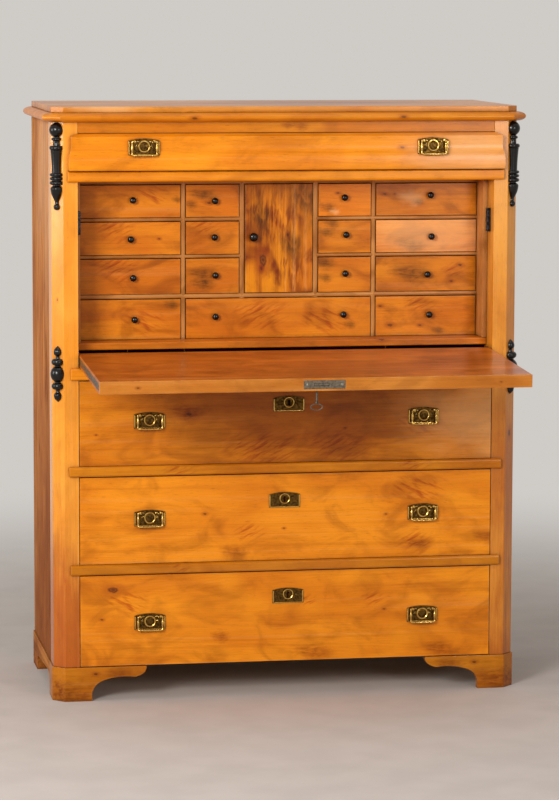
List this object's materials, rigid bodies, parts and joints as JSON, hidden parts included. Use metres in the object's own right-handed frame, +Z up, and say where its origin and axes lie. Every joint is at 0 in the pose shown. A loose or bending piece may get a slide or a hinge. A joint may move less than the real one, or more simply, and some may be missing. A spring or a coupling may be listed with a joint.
{
  "type": "fall-front secretary",
  "caption": "Pine fall-front secretary on bracket feet: a flap lowers to a writing surface before a gallery of small drawers, with large drawers below and a moulded drawer above.",
  "frame": {"origin": "on the floor, at the middle of the whole with its flap lowered", "axes": "+Z up, +Y towards the back, +X to the right of someone facing the front"},
  "size_m": [1.068, 0.8222, 1.2985],
  "materials": {
    "pine_case": "polished golden orange pine",
    "pine_posts": "polished yellow pine",
    "pine_drawers": "polished orange pine with darker stains",
    "pine_flap": "polished reddish pine",
    "pine_bare": "bare, unpolished pine",
    "pine_deck": "worn, dark pine",
    "pine_gallery": "waxed pine",
    "pine_gallery_drawers": "waxed reddish pine",
    "ebonised_wood": "black, glossy",
    "brass": "antique, dark in the recesses",
    "iron": "old bright iron"
  },
  "bodies": {
    "case": {"side_left": "pine_case", "side_right": "pine_case", "post_left": "pine_posts", "post_right": "pine_posts", "back_panel": "pine_bare", "top_board": "pine_case", "cornice_moulding": "pine_case", "frieze_rail": "pine_case", "upper_rail": "pine_case", "writing_rail": "pine_case", "rail_2": "pine_case", "rail_3": "pine_case", "bottom_board": "pine_bare", "foot_left": "pine_case", "foot_right": "pine_case", "side_plinth_left": "pine_case", "side_plinth_right": "pine_case", "upper_turning_left": "ebonised_wood", "upper_turning_right": "ebonised_wood", "lower_turning_left": "ebonised_wood", "lower_turning_right": "ebonised_wood", "deck": "pine_deck", "gallery_bay_left": "pine_gallery", "gallery_centre": "pine_gallery", "gallery_bay_right": "pine_gallery"},
    "fall_flap": {"flap": "pine_flap", "flap_strap_left": "iron", "flap_strap_right": "iron", "lock_case": "brass"},
    "flap_key": {"key": "iron"},
    "flap_bolt": {"lock_bolt": "iron"},
    "top_drawer_body": {"top_drawer": "pine_drawers"},
    "top_drawer_bail_left_body": {"top_drawer_bail_left": "brass"},
    "top_drawer_bail_right_body": {"top_drawer_bail_right": "brass"},
    "drawer_1_body": {"drawer_1": "pine_drawers"},
    "drawer_1_bail_left_body": {"drawer_1_bail_left": "brass"},
    "drawer_1_bail_right_body": {"drawer_1_bail_right": "brass"},
    "drawer_2_body": {"drawer_2": "pine_drawers"},
    "drawer_2_bail_left_body": {"drawer_2_bail_left": "brass"},
    "drawer_2_bail_right_body": {"drawer_2_bail_right": "brass"},
    "drawer_3_body": {"drawer_3": "pine_drawers"},
    "drawer_3_bail_left_body": {"drawer_3_bail_left": "brass"},
    "drawer_3_bail_right_body": {"drawer_3_bail_right": "brass"},
    "left_drawer_1_body": {"left_drawer_1": "pine_gallery_drawers"},
    "left_drawer_2_body": {"left_drawer_2": "pine_gallery_drawers"},
    "left_drawer_3_body": {"left_drawer_3": "pine_gallery_drawers"},
    "left_drawer_4_body": {"left_drawer_4": "pine_gallery_drawers"},
    "inner_left_drawer_1_body": {"inner_left_drawer_1": "pine_gallery_drawers"},
    "inner_left_drawer_2_body": {"inner_left_drawer_2": "pine_gallery_drawers"},
    "inner_left_drawer_3_body": {"inner_left_drawer_3": "pine_gallery_drawers"},
    "inner_right_drawer_1_body": {"inner_right_drawer_1": "pine_gallery_drawers"},
    "inner_right_drawer_2_body": {"inner_right_drawer_2": "pine_gallery_drawers"},
    "inner_right_drawer_3_body": {"inner_right_drawer_3": "pine_gallery_drawers"},
    "right_drawer_1_body": {"right_drawer_1": "pine_gallery_drawers"},
    "right_drawer_2_body": {"right_drawer_2": "pine_gallery_drawers"},
    "right_drawer_3_body": {"right_drawer_3": "pine_gallery_drawers"},
    "right_drawer_4_body": {"right_drawer_4": "pine_gallery_drawers"},
    "wide_drawer_body": {"wide_drawer": "pine_gallery_drawers"},
    "gallery_door_body": {"gallery_door": "pine_gallery_drawers"}
  },
  "joints": [
    {"name": "flap_hinge", "type": "hinge", "parent": "case", "child": "fall_flap", "pos_m": [0, -0.02539, 0.75], "axis": [1, 0, 0], "range_deg": [-92.4, 0]},
    {"name": "key_turn", "type": "hinge", "parent": "fall_flap", "child": "flap_key", "pos_m": [0.001, -0.38557, 0.7349], "axis": [0, -0.0419, 0.9991], "range_deg": [0, 180]},
    {"name": "lock_bolt_slide", "type": "slide", "parent": "fall_flap", "child": "flap_bolt", "axis": [0, -0.9991, -0.0419], "range_m": [0, 0.009]},
    {"name": "top_drawer_slide", "type": "slide", "parent": "case", "child": "top_drawer_body", "axis": [0, -1, 0], "range_m": [0, 0.3]},
    {"name": "top_drawer_bail_left_swing", "type": "hinge", "parent": "top_drawer_body", "child": "top_drawer_bail_left_body", "pos_m": [-0.318, -0.06539, 1.22525], "axis": [-1, 0, 0], "range_deg": [0, 80]},
    {"name": "top_drawer_bail_right_swing", "type": "hinge", "parent": "top_drawer_body", "child": "top_drawer_bail_right_body", "pos_m": [0.318, -0.06539, 1.22525], "axis": [-1, 0, 0], "range_deg": [0, 80]},
    {"name": "drawer_1_slide", "type": "slide", "parent": "case", "child": "drawer_1_body", "axis": [0, -1, 0], "range_m": [0, 0.3]},
    {"name": "drawer_1_bail_left_swing", "type": "hinge", "parent": "drawer_1_body", "child": "drawer_1_bail_left_body", "pos_m": [-0.305, -0.04839, 0.63043], "axis": [-1, 0, 0], "range_deg": [0, 80]},
    {"name": "drawer_1_bail_right_swing", "type": "hinge", "parent": "drawer_1_body", "child": "drawer_1_bail_right_body", "pos_m": [0.305, -0.04839, 0.63043], "axis": [-1, 0, 0], "range_deg": [0, 80]},
    {"name": "drawer_2_slide", "type": "slide", "parent": "case", "child": "drawer_2_body", "axis": [0, -1, 0], "range_m": [0, 0.3]},
    {"name": "drawer_2_bail_left_swing", "type": "hinge", "parent": "drawer_2_body", "child": "drawer_2_bail_left_body", "pos_m": [-0.305, -0.04839, 0.4153], "axis": [-1, 0, 0], "range_deg": [0, 80]},
    {"name": "drawer_2_bail_right_swing", "type": "hinge", "parent": "drawer_2_body", "child": "drawer_2_bail_right_body", "pos_m": [0.305, -0.04839, 0.4153], "axis": [-1, 0, 0], "range_deg": [0, 80]},
    {"name": "drawer_3_slide", "type": "slide", "parent": "case", "child": "drawer_3_body", "axis": [0, -1, 0], "range_m": [0, 0.3]},
    {"name": "drawer_3_bail_left_swing", "type": "hinge", "parent": "drawer_3_body", "child": "drawer_3_bail_left_body", "pos_m": [-0.305, -0.04839, 0.18558], "axis": [-1, 0, 0], "range_deg": [0, 80]},
    {"name": "drawer_3_bail_right_swing", "type": "hinge", "parent": "drawer_3_body", "child": "drawer_3_bail_right_body", "pos_m": [0.305, -0.04839, 0.18558], "axis": [-1, 0, 0], "range_deg": [0, 80]},
    {"name": "left_drawer_1_slide", "type": "slide", "parent": "case", "child": "left_drawer_1_body", "axis": [0, -1, 0], "range_m": [0, 0.19]},
    {"name": "left_drawer_2_slide", "type": "slide", "parent": "case", "child": "left_drawer_2_body", "axis": [0, -1, 0], "range_m": [0, 0.19]},
    {"name": "left_drawer_3_slide", "type": "slide", "parent": "case", "child": "left_drawer_3_body", "axis": [0, -1, 0], "range_m": [0, 0.19]},
    {"name": "left_drawer_4_slide", "type": "slide", "parent": "case", "child": "left_drawer_4_body", "axis": [0, -1, 0], "range_m": [0, 0.19]},
    {"name": "inner_left_drawer_1_slide", "type": "slide", "parent": "case", "child": "inner_left_drawer_1_body", "axis": [0, -1, 0], "range_m": [0, 0.19]},
    {"name": "inner_left_drawer_2_slide", "type": "slide", "parent": "case", "child": "inner_left_drawer_2_body", "axis": [0, -1, 0], "range_m": [0, 0.19]},
    {"name": "inner_left_drawer_3_slide", "type": "slide", "parent": "case", "child": "inner_left_drawer_3_body", "axis": [0, -1, 0], "range_m": [0, 0.19]},
    {"name": "inner_right_drawer_1_slide", "type": "slide", "parent": "case", "child": "inner_right_drawer_1_body", "axis": [0, -1, 0], "range_m": [0, 0.19]},
    {"name": "inner_right_drawer_2_slide", "type": "slide", "parent": "case", "child": "inner_right_drawer_2_body", "axis": [0, -1, 0], "range_m": [0, 0.19]},
    {"name": "inner_right_drawer_3_slide", "type": "slide", "parent": "case", "child": "inner_right_drawer_3_body", "axis": [0, -1, 0], "range_m": [0, 0.19]},
    {"name": "right_drawer_1_slide", "type": "slide", "parent": "case", "child": "right_drawer_1_body", "axis": [0, -1, 0], "range_m": [0, 0.19]},
    {"name": "right_drawer_2_slide", "type": "slide", "parent": "case", "child": "right_drawer_2_body", "axis": [0, -1, 0], "range_m": [0, 0.19]},
    {"name": "right_drawer_3_slide", "type": "slide", "parent": "case", "child": "right_drawer_3_body", "axis": [0, -1, 0], "range_m": [0, 0.19]},
    {"name": "right_drawer_4_slide", "type": "slide", "parent": "case", "child": "right_drawer_4_body", "axis": [0, -1, 0], "range_m": [0, 0.19]},
    {"name": "wide_drawer_slide", "type": "slide", "parent": "case", "child": "wide_drawer_body", "axis": [0, -1, 0], "range_m": [0, 0.19]},
    {"name": "gallery_door_hinge", "type": "hinge", "parent": "case", "child": "gallery_door_body", "pos_m": [0.0757, 0.07961, 1.003], "axis": [0, 0, 1], "range_deg": [0, 80]}
  ],
  "couplings": [
    {"joint": "lock_bolt_slide", "follows": "key_turn", "m_per_rad": 0.002864}
  ]
}
